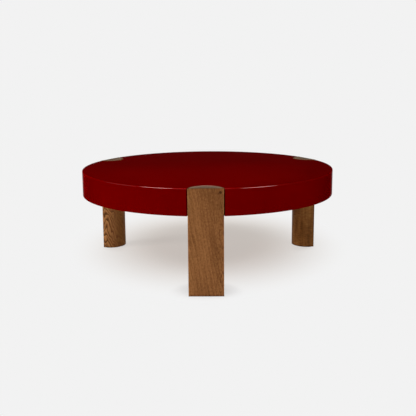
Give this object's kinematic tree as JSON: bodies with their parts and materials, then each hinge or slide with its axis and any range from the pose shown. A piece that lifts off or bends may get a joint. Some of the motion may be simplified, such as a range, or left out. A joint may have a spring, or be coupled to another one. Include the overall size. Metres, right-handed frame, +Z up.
{
  "type": "round cocktail table",
  "caption": "Low round table with a thick gloss-lacquered drum top carried on half-round oak legs let into its rim, for drinks, books and trays.",
  "frame": {"origin": "on the floor, under the middle of the drum", "axes": "+Z up along the drum's axis, -Y towards the front leg"},
  "size_m": [1.0668, 1.0625, 0.412],
  "materials": {
    "red_lacquer": "deep red gloss lacquer over board",
    "red_undercoat": "deep red satin coat over board",
    "stained_oak": "brown-stained oak under a satin varnish",
    "birch_ply": "bare birch plywood",
    "zinc_plated_steel": "bright zinc plate",
    "brass": "plain turned brass",
    "felt": "dark brown pressed felt"
  },
  "bodies": {
    "root": {"top_panel": "red_lacquer", "rim_segment_left": "red_lacquer", "rim_segment_right": "red_lacquer", "rim_segment_rear": "red_lacquer", "bottom_panel": "red_undercoat", "leg_front": "stained_oak", "leg_left": "stained_oak", "leg_right": "stained_oak", "leg_block_front": "birch_ply", "leg_block_left": "birch_ply", "leg_block_right": "birch_ply", "tie_rib_left": "birch_ply", "tie_rib_right": "birch_ply", "tie_rib_rear": "birch_ply", "spoke_rib_left": "birch_ply", "spoke_rib_right": "birch_ply", "spoke_rib_rear": "birch_ply", "rib_hub": "birch_ply", "leg_bolts": "zinc_plated_steel", "bolt_washers": "zinc_plated_steel", "bottom_panel_screws": "zinc_plated_steel", "leg_inserts": "brass", "felt_pad_front": "felt", "felt_pad_left": "felt", "felt_pad_right": "felt"}
  },
  "joints": []
}
